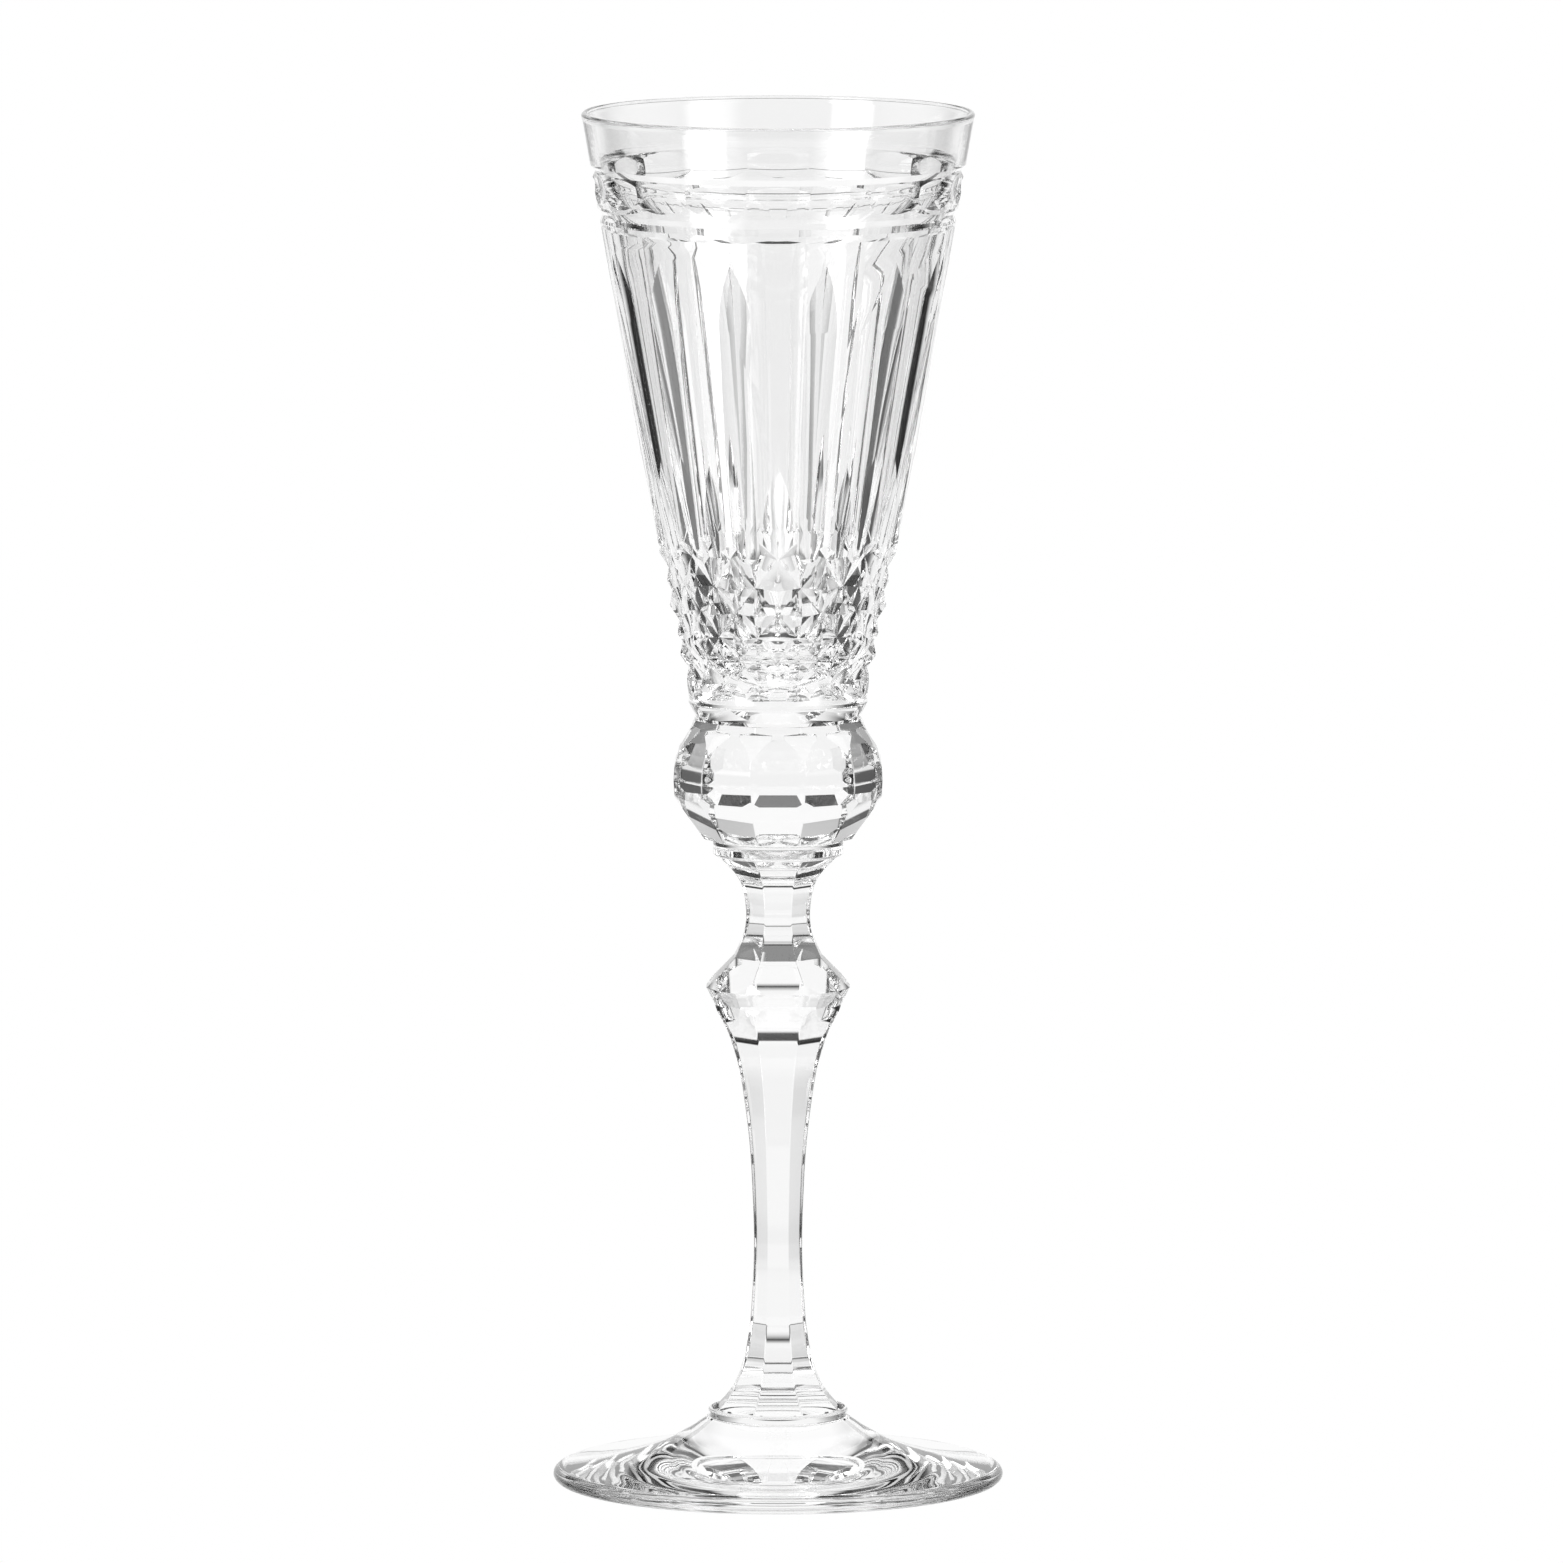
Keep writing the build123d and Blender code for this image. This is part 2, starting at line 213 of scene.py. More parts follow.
# Table and camera, in metres
FLOOR_REACH = 4.0
FLOOR_DROP = 0.0004
CAMERA_DISTANCE = 3.120
CAMERA_HEIGHT = 0.5137
CAMERA_AIM = Vector((0.0006, 0.0, 0.1233))
CAMERA_LENS = 414.8
LIGHT_BOUNCES = 32
GLOSSY_BOUNCES = 16


# ---------------------------------------------------------------- mesh helpers
def around(angle, radius, height):
    """A point at that angle from the front, which faces -Y."""
    return Vector((radius * sin(radians(angle)), -radius * cos(radians(angle)), height))


def mesh_object(name, points, faces):
    """A new object in millimetres from points and faces."""
    mesh = bpy.data.meshes.new(name)
    mesh.from_pydata([tuple(p) for p in points], [], faces)
    mesh.validate()
    mesh.update()
    thing = bpy.data.objects.new(name, mesh)
    bpy.context.scene.collection.objects.link(thing)
    return thing


def revolved(name, profile, segments=SEGMENTS):
    """A closed solid turned about Z from (radius, height) points that start and end on the axis."""
    rings = profile[1:-1]
    points = [around(s * 360 / segments, r, z) for r, z in rings for s in range(segments)]
    first, last = len(points), len(points) + 1
    points += [Vector((0, 0, profile[0][1])), Vector((0, 0, profile[-1][1]))]
    faces = []
    for ring in range(len(rings) - 1):
        for s in range(segments):
            t = (s + 1) % segments
            a, b = ring * segments, (ring + 1) * segments
            faces.append((a + s, a + t, b + t, b + s))
    top = (len(rings) - 1) * segments
    for s in range(segments):
        t = (s + 1) % segments
        faces.append((first, t, s))
        faces.append((last, top + s, top + t))
    return mesh_object(name, points, faces)


def corner_turns(half_step):
    """Angles round a polished corner, in degrees from its middle, close together where it meets the flats."""
    return [share * half_step for share in (-1.0, -0.97, -0.75, -0.5, -0.25, 0.0, 0.25, 0.5, 0.75, 0.97, 1.0)]


def sided(name, rows, sides, rounding):
    """A closed solid with equal flat sides and rounded corners, from (height, distance of the side) rows."""
    half_step = 180 / sides
    ring = []
    for k in range(sides):
        middle = (2 * k + 1) * half_step
        ring += [(middle, middle + turn) for turn in corner_turns(half_step)]
    points = []
    for height, distance in rows:
        centre = (distance - rounding) / cos(radians(half_step))
        points += [around(middle, centre, height) + around(turn, rounding, 0) for middle, turn in ring]
    count = len(ring)
    faces = []
    for row in range(len(rows) - 1):
        for k in range(count):
            n = (k + 1) % count
            a, b = row * count, (row + 1) * count
            faces.append((a + k, a + n, b + n, b + k))
    faces.append(tuple(range(count - 1, -1, -1)))
    faces.append(tuple((len(rows) - 1) * count + k for k in range(count)))
    return mesh_object(name, points, faces)


def slab(inner, outer):
    """Points and faces of a closed block between two equal grids of points: a cutting face and its back."""
    rows, columns = len(inner), len(inner[0])
    points = [p for row in inner for p in row] + [p for row in outer for p in row]
    back = rows * columns

    def at(row, column, side):
        return side * back + row * columns + column

    faces = []
    for i in range(rows - 1):
        for j in range(columns - 1):
            faces.append((at(i, j, 0), at(i, j + 1, 0), at(i + 1, j + 1, 0), at(i + 1, j, 0)))
            faces.append((at(i, j, 1), at(i + 1, j, 1), at(i + 1, j + 1, 1), at(i, j + 1, 1)))
    for i in range(rows - 1):
        faces.append((at(i, 0, 0), at(i + 1, 0, 0), at(i + 1, 0, 1), at(i, 0, 1)))
        last = columns - 1
        faces.append((at(i, last, 0), at(i, last, 1), at(i + 1, last, 1), at(i + 1, last, 0)))
    for j in range(columns - 1):
        faces.append((at(0, j, 0), at(0, j, 1), at(0, j + 1, 1), at(0, j + 1, 0)))
        last = rows - 1
        faces.append((at(last, j, 0), at(last, j + 1, 0), at(last, j + 1, 1), at(last, j, 1)))
    return points, faces


def joined(name, blocks):
    """One object from several separate blocks of points and faces, with faces turned outwards."""
    points, faces = [], []
    for block_points, block_faces in blocks:
        start = len(points)
        points += block_points
        faces += [tuple(start + v for v in face) for face in block_faces]
    thing = mesh_object(name, points, faces)
    outwards(thing)
    return thing


def outwards(thing):
    """Turns every face of a closed mesh outwards."""
    work = bmesh.new()
    work.from_mesh(thing.data)
    bmesh.ops.recalc_face_normals(work, faces=work.faces)
    work.to_mesh(thing.data)
    work.free()


def combine(thing, cutter, operation="DIFFERENCE"):
    """Applies one boolean and removes the cutter."""
    change = thing.modifiers.new("cut", "BOOLEAN")
    change.operation = operation
    change.solver = "MANIFOLD"
    change.object = cutter
    bpy.context.view_layer.update()
    graph = bpy.context.evaluated_depsgraph_get()
    result = bpy.data.meshes.new_from_object(thing.evaluated_get(graph))
    thing.modifiers.clear()
    old = thing.data
    thing.data = result
    bpy.data.meshes.remove(old)
    spare = cutter.data
    bpy.data.objects.remove(cutter)
    bpy.data.meshes.remove(spare)


def smooth_rows(points, step):
    """Rows (height, distance) on a smooth curve through the points, closer than step in height."""
    rows = []
    count = len(points)
    for i in range(count - 1):
        (z0, r0), (z1, r1) = points[i], points[i + 1]
        before = points[i - 1] if i > 0 else (2 * z0 - z1, 2 * r0 - r1)
        after = points[i + 2] if i + 2 < count else (2 * z1 - z0, 2 * r1 - r0)
        slope0 = (r1 - before[1]) / (z1 - before[0])
        slope1 = (after[1] - r0) / (after[0] - z0)
        parts = max(1, round(abs(z1 - z0) / step))
        for part in range(parts):
            t = part / parts
            h = z1 - z0
            rows.append((
                z0 + t * h,
                (2 * t**3 - 3 * t**2 + 1) * r0 + (t**3 - 2 * t**2 + t) * h * slope0
                + (3 * t**2 - 2 * t**3) * r1 + (t**3 - t**2) * h * slope1,
            ))
    rows.append(points[-1])
    return rows


def arc(centre, radius, start, end, parts):
    """(radius, height) points on a circle in the profile plane, from one angle to another in degrees."""
    turns = [radians(start + (end - start) * k / parts) for k in range(parts + 1)]
    return [(centre[0] + radius * cos(t), centre[1] + radius * sin(t)) for t in turns]


# ---------------------------------------------------------------- bowl
def outer_radius(height):
    return RIM_RADIUS - BOWL_TAPER * (RIM_HEIGHT - height)


def cavity_radius(height):
    return RIM_RADIUS - RIM_WALL - CAVITY_TAPER * (RIM_HEIGHT - height)


def diamond_radius(height):
    return DIAMONDS_TOP_RADIUS - DIAMONDS_TAPER * (DIAMONDS_TOP - height)


def cavity_profile():
    """The inside of the bowl, from the rim down to the axis."""
    slope = CAVITY_TAPER
    lean = sqrt(1 + slope**2)
    floor_radius = cavity_radius(CAVITY_FLOOR) / (lean - slope)
    centre = (0, CAVITY_FLOOR + floor_radius)
    join_angle = -degrees(atan2(slope, 1))
    top = RIM_HEIGHT - RIM_WALL / 2
    bottom = centre[1] + floor_radius * sin(radians(join_angle))
    cone = [(cavity_radius(z), z) for z in spread(top, bottom, 40)][:-1]
    sphere = arc(centre, floor_radius, join_angle, -90, 60)
    sphere[-1] = (0.0, CAVITY_FLOOR)
    return cone + sphere


def spread(start, end, parts):
    return [start + (end - start) * k / parts for k in range(parts + 1)]


def outer_profile():
    """The outside of the bowl before cutting, from the axis under the waist up to the rim."""
    foot_top = DIAMONDS_BOTTOM - BOWL_FOOT_LIP
    profile = [(0, WAIST_HEIGHT), (WAIST_RADIUS - WAIST_SEAM_MARGIN, WAIST_HEIGHT)]
    profile += [(WAIST_RADIUS, WAIST_HEIGHT), (WAIST_RADIUS, WAIST_HEIGHT + WAIST_BAND)]
    profile += [(BOWL_FOOT_RADIUS, BOWL_FOOT_HEIGHT)]
    profile += [(diamond_radius(foot_top), foot_top)]
    profile += [(diamond_radius(z), z) for z in spread(foot_top + 1, DIAMONDS_TOP, 24)]
    profile += [(outer_radius(z), z) for z in spread(DIAMONDS_TOP + 1.0, GROOVES[1] - GROOVE_HALF_HEIGHT, 56)]
    profile += [(outer_radius(GROOVES[1]) - GROOVE_DEPTH, GROOVES[1])]
    profile += [(outer_radius(z), z) for z in spread(
        GROOVES[1] + GROOVE_HALF_HEIGHT, GROOVES[0] - GROOVE_HALF_HEIGHT, 8)]
    profile += [(outer_radius(GROOVES[0]) - GROOVE_DEPTH, GROOVES[0])]
    rim = (RIM_RADIUS - RIM_WALL / 2, RIM_HEIGHT - RIM_WALL / 2)
    profile += [(outer_radius(z), z) for z in spread(GROOVES[0] + GROOVE_HALF_HEIGHT, rim[1], 10)][:-1]
    profile += arc(rim, RIM_WALL / 2, -9, 180, RIM_PARTS)[:-1]
    return profile


def panel_cutters(parity):
    """Blocks that leave every second flat panel, each running out into the lip above at 45 degrees."""
    step = 360 / PANELS
    bottom = DIAMONDS_TOP - 1.0
    levels = [bottom, PANELS_TOP, PANELS_TOP + PANEL_RUN_OUT]
    blocks = []
    for k in range(parity, PANELS, 2):
        inner, outer = [], []
        for height in levels:
            flat = outer_radius(min(height, PANELS_TOP)) * cos(radians(step / 2))
            flat += max(0.0, height - PANELS_TOP)
            reach = PANEL_OVERLAP * outer_radius(height) * sin(radians(step / 2))
            centre = around(k * step, flat, height)
            across = around(k * step + 90, reach, 0)
            out = around(k * step, CUTTER_COVER, 0)
            inner.append([centre - across, centre + across])
            outer.append([centre - across + out, centre + across + out])
        blocks.append(slab(inner, outer))
    return joined("panel_cutters", blocks)


def lancet_cutters(angles, half_angle, tip):
    """Pointed V cuts up the panels: full width at the bottom, drawn in to the tip on a round line."""
    blocks = []
    bottom = CUTS_BOTTOM
    half_step = radians(180 / PANELS)
    above_tip = tip + 0.4
    levels = spread(above_tip, tip - CUT_POINT_LENGTH, CUT_PARTS) + [bottom + 1.2, bottom, bottom - 1.0]
    for angle in angles:
        inner, outer = [], []
        for height in levels:
            t = min(1.0, (tip - height) / CUT_POINT_LENGTH)
            fullness = 1 - (1 - t) ** 2 if t >= 0 else 2 * t
            away = radians(abs((angle + 180 / PANELS) % (360 / PANELS) - 180 / PANELS))
            radius = outer_radius(height) * cos(half_step) / cos(away)
            slope = radius * radians(half_angle) / CUT_DEPTH
            depth = CUT_DEPTH * fullness - max(0.0, bottom - height) * CUT_END_SLOPE
            valley = around(angle, radius - depth, height)
            rise = 1.6 + depth
            edge = around(angle, radius - depth + rise, height)
            across = around(angle + 90, rise * slope, 0)
            inner.append([edge - across, valley, edge + across])
            cover = around(angle, CUTTER_COVER, 0)
            outer.append([edge - across + cover, valley + cover * 1.6, edge + across + cover])
        blocks.append(slab(inner, outer))
    return joined("lancet_cutters", blocks)


def oval_cutters(parity):
    """Hollow ovals as a wheel with a round edge cuts them, above every second panel."""
    radius = outer_radius(OVAL_HEIGHT)
    half_width = OVAL_FILL * radius * sin(radians(180 / PANELS))
    wheel = half_width**2 / (2 * (OVAL_DEPTH - half_width**2 / (2 * radius)))
    edge = (OVAL_TALL / 2) ** 2 / (2 * OVAL_DEPTH)
    lean = Matrix.Rotation(-atan2(BOWL_TAPER, 1), 4, "X")
    at_surface = Matrix.Translation((0, -radius, OVAL_HEIGHT))
    blocks = []
    for k in range(parity, PANELS, 2):
        place = Matrix.Rotation(radians(k * 360 / PANELS), 4, "Z") @ at_surface @ lean
        inner, outer = [], []
        for u in spread(-OVAL_SWEEP, OVAL_SWEEP, CUT_PARTS):
            row = []
            cover = []
            for v in spread(-OVAL_EDGE_SWEEP, OVAL_EDGE_SWEEP, CUT_PARTS):
                reach = wheel - edge + edge * cos(radians(v))
                point = Vector((reach * sin(radians(u)), OVAL_DEPTH - wheel + reach * cos(radians(u)),
                                edge * sin(radians(v))))
                row.append(place @ point)
                cover.append(place @ (point + Vector((0, -OVAL_COVER, 0))))
            inner.append(row)
            outer.append(cover)
        blocks.append(slab(inner, outer))
    return joined("oval_cutters", blocks)


def groove_cutters(hand, parity):
    """V grooves that wind down the cone, run out at both ends; every second one of one hand."""
    step = 360 / DIAMONDS
    top = DIAMONDS_TOP + DIAMOND_RUN_OUT + 1.0
    bottom = DIAMONDS_BOTTOM - 2.0
    blocks = []
    for k in range(parity, DIAMONDS, 2):
        inner, outer = [], []
        for height in spread(top, bottom, GROOVE_PARTS):
            radius = diamond_radius(height)
            turn = hand * degrees(log(radius / DIAMONDS_TOP_RADIUS) / DIAMONDS_TAPER) / DIAMOND_STEEPNESS
            angle = k * step + turn
            spread_out = radius * pi / DIAMONDS * cos(GROOVE_ANGLE)
            sag = (spread_out * cos(GROOVE_ANGLE)) ** 2 / (2 * radius)
            slope = (DIAMOND_DEPTH - sag) / spread_out
            depth = DIAMOND_DEPTH
            if height > DIAMONDS_TOP:
                depth -= DIAMOND_DEPTH * (height - DIAMONDS_TOP) / DIAMOND_RUN_OUT
            if height < DIAMONDS_BOTTOM:
                depth -= DIAMOND_DEPTH * (DIAMONDS_BOTTOM - height) / DIAMOND_LOWER_RUN_OUT
            outward = around(angle, 1.0, -DIAMONDS_TAPER).normalized()
            sideways = around(angle + 90, 1.0, 0)
            up = sideways.cross(outward).normalized()
            if up.z < 0:
                up = -up
            across = (sideways - hand * up).normalized()
            centre = around(angle, radius, height)
            rise = 1.0 + depth
            wide = min(rise / slope, 1.5 * spread_out)
            rise = wide * slope
            valley = centre - outward * depth
            edge = valley + outward * rise
            inner.append([edge - across * wide, valley, edge + across * wide])
            cover = outward * GROOVE_COVER
            outer.append([point + cover for point in inner[-1]])
        blocks.append(slab(inner, outer))
    return joined("groove_cutters", blocks)


def make_bowl():
    """The bowl: the turned blank, then every cut in the order a cutter would make them."""
    profile = outer_profile() + cavity_profile()
    bowl = revolved("crystal_bowl", profile)
    outwards(bowl)
    for parity in (0, 1):
        combine(bowl, panel_cutters(parity))
    long_angles = [k * 60 + side * LONG_CUT_ANGLE for k in range(6) for side in (-1, 1)]
    short_angles = [k * 30 for k in range(12)]
    combine(bowl, lancet_cutters(long_angles, LONG_CUT_HALF_ANGLE, LONG_CUT_TIP))
    combine(bowl, lancet_cutters(short_angles, SHORT_CUT_HALF_ANGLE, SHORT_CUT_TIP))
    for parity in (0, 1):
        combine(bowl, oval_cutters(parity))
    for hand in (-1, 1):
        for parity in (0, 1):
            combine(bowl, groove_cutters(hand, parity))
    return bowl


# ---------------------------------------------------------------- bulb, collars, stem and foot
def make_bulb():
    """The twelve-sided bulb with a kite cut on each corner above and below its widest band."""
    rows = [BULB_TOP] + smooth_rows(BULB_BELLY, SIDED_STEP)[:-1] + list(BULB_BASE)
    rows.reverse()
    bulb = sided("crystal_bulb", rows, BULB_SIDES, BULB_CORNER_ROUNDING)
    outwards(bulb)
    half_step = 180 / BULB_SIDES
    for height, distance, slope, depth in BULB_KITES:
        blocks = []
        for k in range(BULB_SIDES):
            angle = (2 * k + 1) * half_step
            normal = around(angle, cos(radians(slope)), sin(radians(slope)))
            centre = around(angle, distance / cos(radians(half_step)), height) - normal * depth
            across = around(angle + 90, KITE_REACH, 0)
            up = normal.cross(around(angle + 90, 1.0, 0)).normalized() * KITE_REACH
            lower_edge = [centre - across - up, centre + across - up]
            upper_edge = [centre - across + up, centre + across + up]
            grid = [lower_edge, upper_edge]
            blocks.append(slab(grid, [[p + normal * KITE_COVER for p in row] for row in grid]))
        combine(bulb, joined("kite_cutters", blocks))
    return bulb


def make_disc(name, radius, bottom, top, rounding):
    """A round collar with rounded edges."""
    profile = [(0, bottom), (radius * 0.5, bottom)]
    profile += arc((radius - rounding, bottom + rounding), rounding, -90, 0, DISC_PARTS)
    profile += arc((radius - rounding, top - rounding), rounding, 0, 90, DISC_PARTS)
    profile += [(radius * 0.5, top), (0, top)]
    disc = revolved(name, profile)
    outwards(disc)
    return disc


def make_stem():
    """Neck, knop and leg with eight sides, inside a double cone that makes the knop's edge round."""
    rows = smooth_rows(NECK, SIDED_STEP)
    rows += [(KNOP_HEIGHT, KNOP_SIDE)]
    rows += smooth_rows(LEG, LEG_STEP)[:-1]
    rows += smooth_rows(FLARE, LEG_STEP)
    rows.reverse()
    stem = sided("crystal_stem", rows, STEM_SIDES, STEM_CORNER_ROUNDING)
    outwards(stem)
    narrow = KNOP_RADIUS - KNOP_EDGE_HEIGHT * KNOP_EDGE_SLOPE
    below, above = KNOP_HEIGHT - KNOP_CLEAR_HEIGHT, KNOP_HEIGHT + KNOP_CLEAR_HEIGHT
    profile = [
        (0, below), (KNOP_CLEAR_RADIUS, below), (narrow, KNOP_HEIGHT - KNOP_EDGE_HEIGHT),
        (KNOP_RADIUS, KNOP_HEIGHT),
        (narrow, KNOP_HEIGHT + KNOP_EDGE_HEIGHT), (KNOP_CLEAR_RADIUS, above), (0, above),
    ]
    envelope = revolved("envelope", profile)
    outwards(envelope)
    combine(stem, envelope, "INTERSECT")
    return stem


def ellipse_quarter(centre, across, up, start, end, parts):
    """(radius, height) points on part of an ellipse in the profile plane, in degrees from outwards."""
    turns = [radians(start + (end - start) * k / parts) for k in range(parts + 1)]
    return [(centre[0] + across * cos(t), centre[1] + up * sin(t)) for t in turns]


def make_foot():
    """The thin round foot that sweeps up to the lower collar."""
    rows = smooth_rows(FOOT_SWEEP, FOOT_STEP)
    middle = FOOT_EDGE * FOOT_EDGE_WIDEST
    upper = (FOOT_RADIUS - FOOT_EDGE_TOP, middle)
    lower = (FOOT_RADIUS - FOOT_EDGE_BOTTOM, middle)
    edge = ellipse_quarter(upper, FOOT_EDGE_TOP, FOOT_EDGE - middle, FOOT_EDGE_START, 0, FOOT_EDGE_PARTS)
    edge += ellipse_quarter(lower, FOOT_EDGE_BOTTOM, middle, 0, -90, FOOT_EDGE_PARTS)[1:]
    profile = [(0, LOWER_COLLAR_BOTTOM), (8.0, LOWER_COLLAR_BOTTOM)] + rows + edge
    profile += [(FOOT_RADIUS * 0.5, 0), (0, 0)]
    foot = revolved("crystal_foot", profile)
    outwards(foot)
    return foot


# ---------------------------------------------------------------- materials
def node_material(name):
    """A new material with an empty node tree and its output."""
    material = bpy.data.materials.new(name)
    material.use_nodes = True
    nodes = material.node_tree.nodes
    nodes.clear()
    output = nodes.new("ShaderNodeOutputMaterial")
    return material, nodes, material.node_tree.links, output


def crystal_material():
    """Clear polished crystal, with the faint waves that hand polishing leaves as a very shallow bump."""
    material, nodes, links, output = node_material("crystal")
    shader = nodes.new("ShaderNodeBsdfPrincipled")
    shader.inputs["Base Color"].default_value = (1.0, 1.0, 1.0, 1.0)
    shader.inputs["Roughness"].default_value = 0.0
    shader.inputs["IOR"].default_value = GLASS_IOR
    shader.inputs["Transmission Weight"].default_value = 1.0
    place = nodes.new("ShaderNodeTexCoord")
    waves = nodes.new("ShaderNodeTexNoise")
    waves.inputs["Scale"].default_value = POLISH_WAVES
    waves.inputs["Detail"].default_value = 1.0
    bump = nodes.new("ShaderNodeBump")
    bump.inputs["Distance"].default_value = POLISH_WAVE_HEIGHT
    links.new(place.outputs["Object"], waves.inputs["Vector"])
    links.new(waves.outputs[0], bump.inputs["Height"])
    links.new(bump.outputs[0], shader.inputs["Normal"])
    links.new(shader.outputs[0], output.inputs["Surface"])
    return material


def fused_material():
    """The seam where two gathers are fused: the same glass on both sides, so light goes straight through."""
    material, nodes, links, output = node_material("fused_seam")
    shader = nodes.new("ShaderNodeBsdfTransparent")
    links.new(shader.outputs[0], output.inputs["Surface"])
    return material


def finish_piece(thing, node, crystal, seam, joints):
    """Millimetres to metres, crisp cut edges, materials, and its place in the frame."""
    mesh = thing.data
    mesh.materials.clear()
    mesh.materials.append(crystal)
    mesh.materials.append(seam)
    for face in mesh.polygons:
        centre = face.center
        face.material_index = 0
        face.use_smooth = True
        for height, radius in joints:
            flat = abs(face.normal.z) > 0.99 and abs(centre.z - height) < 0.01
            if flat and sqrt(centre.x**2 + centre.y**2) < radius:
                face.material_index = 1
    mesh.set_sharp_from_angle(angle=radians(FACET_EDGE))
    mesh.transform(Matrix.Scale(MM, 4))
    mesh.update()
    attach(thing, "root")
    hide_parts(node)


# ---------------------------------------------------------------- light, floor and camera
def ramp(nodes, stops):
    """A colour ramp from (position 0 to 1, value) stops."""
    node = nodes.new("ShaderNodeValToRGB")
    elements = node.color_ramp.elements
    while len(elements) > 1:
        elements.remove(elements[-1])
    elements[0].position = stops[0][0]
    elements[0].color = (stops[0][1],) * 3 + (1,)
    for position, value in stops[1:]:
        elements.new(position).color = (value,) * 3 + (1,)
    return node


def maths(nodes, links, operation, first, second):
    """A Math node whose inputs are sockets or numbers."""
    node = nodes.new("ShaderNodeMath")
    node.operation = operation
    for socket, value in zip(node.inputs, (first, second)):
        if isinstance(value, (int, float)):
            socket.default_value = value
        else:
            links.new(value, socket)
    return node.outputs[0]


def share_of(nodes, links, angle, lowest, highest):
    """An angle in radians as a share of the way between two angles in degrees."""
    above = maths(nodes, links, "SUBTRACT", angle, radians(lowest))
    return maths(nodes, links, "DIVIDE", above, radians(highest - lowest))


def by_angle(nodes, links, share, stops, lowest, highest, scale=1.0):
    """The colour that the stops, in degrees, give at that share."""
    node = ramp(nodes, [((a - lowest) / (highest - lowest), v * scale) for a, v in stops])
    links.new(share, node.inputs[0])
    return node.outputs[0]


def blended(nodes, links, factor, first, second):
    """A colour mix whose inputs are sockets or one grey value."""
    node = nodes.new("ShaderNodeMix")
    node.data_type = "RGBA"
    links.new(factor, node.inputs["Factor"])
    for socket, value in ((node.inputs[6], first), (node.inputs[7], second)):
        if isinstance(value, float):
            socket.default_value = (value, value, value, 1.0)
        else:
            links.new(value, socket)
    return node.outputs[2]


def make_world():
    """White to the camera. To the glass, a bright backdrop with dark flags, soft boxes and a top light."""
    world = bpy.data.worlds.new("studio")
    bpy.context.scene.world = world
    world.use_nodes = True
    nodes, links = world.node_tree.nodes, world.node_tree.links
    nodes.clear()
    output = nodes.new("ShaderNodeOutputWorld")
    direction = nodes.new("ShaderNodeTexCoord")
    split = nodes.new("ShaderNodeSeparateXYZ")
    links.new(direction.outputs["Generated"], split.inputs[0])
    azimuth = maths(nodes, links, "ARCTAN2", split.outputs["X"], split.outputs["Y"])
    height = maths(nodes, links, "ARCSINE", split.outputs["Z"], 0.0)
    turn = share_of(nodes, links, azimuth, -180, 180)
    rise = share_of(nodes, links, height, -90, 90)
    backdrop = by_angle(nodes, links, turn, BACKDROP, -180, 180, 1 / BRIGHTEST)
    ceiling = by_angle(nodes, links, turn, CEILING, -180, 180, 1 / BRIGHTEST)
    table = by_angle(nodes, links, turn, TABLE, -180, 180, 1 / BRIGHTEST)
    low = by_angle(nodes, links, rise, BACKDROP_HEIGHT, -90, 90)
    table_share = by_angle(nodes, links, rise, TABLE_HEIGHT, -90, 90)
    white = by_angle(nodes, links, rise, WHITE_HEIGHT, -90, 90)
    gap = by_angle(nodes, links, rise, GAP_HEIGHT, -90, 90)
    studio = blended(nodes, links, low, ceiling, backdrop)
    lower = by_angle(nodes, links, turn, LOWER, -180, 180, 1 / BRIGHTEST)
    lower_share = by_angle(nodes, links, rise, LOWER_HEIGHT, -90, 90)
    studio = blended(nodes, links, lower_share, studio, lower)
    studio = blended(nodes, links, table_share, studio, table)
    studio = blended(nodes, links, gap, studio, GAP / BRIGHTEST)
    studio = blended(nodes, links, white, studio, 1 / BRIGHTEST)
    to_glass = nodes.new("ShaderNodeBackground")
    to_glass.inputs["Strength"].default_value = BRIGHTEST
    links.new(studio, to_glass.inputs["Color"])
    to_camera = nodes.new("ShaderNodeBackground")
    to_camera.inputs["Color"].default_value = (1, 1, 1, 1)
    path = nodes.new("ShaderNodeLightPath")
    choose = nodes.new("ShaderNodeMixShader")
    links.new(path.outputs["Is Camera Ray"], choose.inputs[0])
    links.new(to_glass.outputs[0], choose.inputs[1])
    links.new(to_camera.outputs[0], choose.inputs[2])
    links.new(choose.outputs[0], output.inputs["Surface"])


def make_floor():
    """The pale table, lit to white. The glass takes its light from the studio, so it looks past the table."""
    corners = [(-1, -1), (1, -1), (1, 1), (-1, 1)]
    points = [(x * FLOOR_REACH, y * FLOOR_REACH, -FLOOR_DROP) for x, y in corners]
    floor = mesh_object("table", points, [(0, 1, 2, 3)])
    material, nodes, links, output = node_material("table")
    shader = nodes.new("ShaderNodeEmission")
    shader.inputs["Color"].default_value = (1, 1, 1, 1)
    links.new(shader.outputs[0], output.inputs["Surface"])
    floor.data.materials.append(material)
    floor.visible_transmission = False
    floor.visible_glossy = False


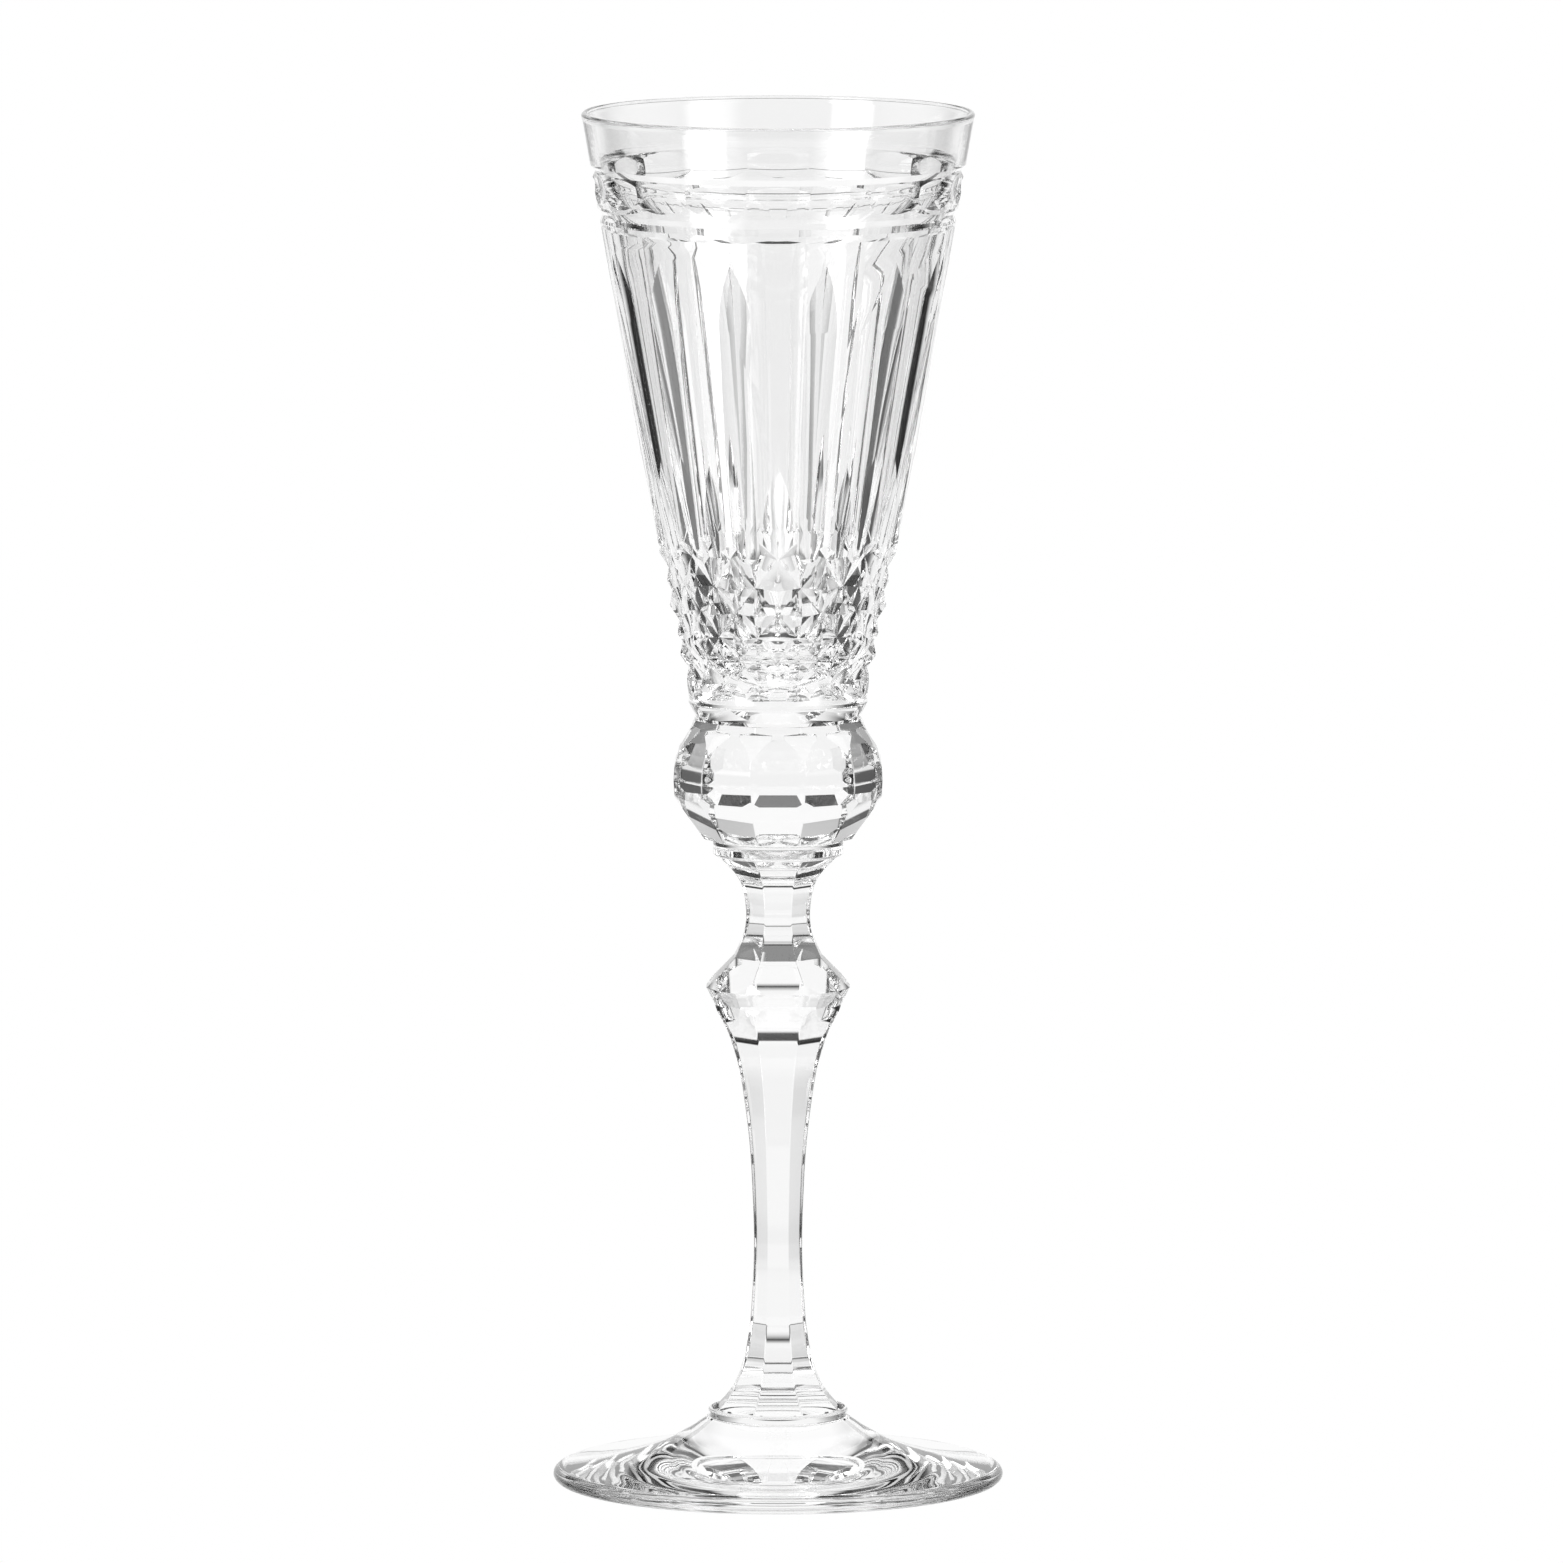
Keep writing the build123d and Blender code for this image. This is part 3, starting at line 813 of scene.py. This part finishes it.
def make_camera():
    """A long lens that looks a little down on the glass."""
    data = bpy.data.cameras.new("camera")
    data.lens = CAMERA_LENS
    data.sensor_width = 36.0
    data.clip_start = 0.05
    data.clip_end = 50.0
    camera = bpy.data.objects.new("camera", data)
    camera.location = (0.0, -CAMERA_DISTANCE, CAMERA_HEIGHT)
    camera.rotation_euler = (CAMERA_AIM - camera.location).to_track_quat("-Z", "Y").to_euler()
    bpy.context.scene.collection.objects.link(camera)
    bpy.context.scene.camera = camera


def set_up_render():
    scene = bpy.context.scene
    scene.view_settings.view_transform = "Standard"
    scene.cycles.max_bounces = LIGHT_BOUNCES
    scene.cycles.transmission_bounces = LIGHT_BOUNCES
    scene.cycles.glossy_bounces = GLOSSY_BOUNCES
    scene.cycles.transparent_max_bounces = LIGHT_BOUNCES
    scene.cycles.sample_clamp_indirect = 0.0
    scene.cycles.blur_glossy = 0.0


def main():
    crystal = crystal_material()
    seam = fused_material()
    waist = (WAIST_HEIGHT, WAIST_RADIUS - WAIST_SEAM_MARGIN)
    bulb_bottom = (BULB_BOTTOM, BULB_SEAM)
    neck_top = (UPPER_COLLAR_BOTTOM, NECK_SEAM)
    stem_bottom = (STEM_BOTTOM, STEM_SEAM)
    foot_top = (LOWER_COLLAR_BOTTOM, FOOT_SEAM)
    finish_piece(make_bowl(), "bowl", crystal, seam, [waist])
    finish_piece(make_bulb(), "bulb", crystal, seam, [waist, bulb_bottom])
    upper = make_disc(
        "crystal_upper_collar", UPPER_COLLAR_RADIUS, UPPER_COLLAR_BOTTOM, BULB_BOTTOM, UPPER_COLLAR_ROUNDING
    )
    finish_piece(upper, "upper_collar", crystal, seam, [bulb_bottom, neck_top])
    finish_piece(make_stem(), "stem", crystal, seam, [neck_top, stem_bottom])
    lower = make_disc(
        "crystal_lower_collar", LOWER_COLLAR_RADIUS, LOWER_COLLAR_BOTTOM, STEM_BOTTOM, LOWER_COLLAR_ROUNDING
    )
    finish_piece(lower, "lower_collar", crystal, seam, [stem_bottom, foot_top])
    finish_piece(make_foot(), "foot", crystal, seam, [foot_top])
    make_world()
    make_floor()
    make_camera()
    set_up_render()


main()
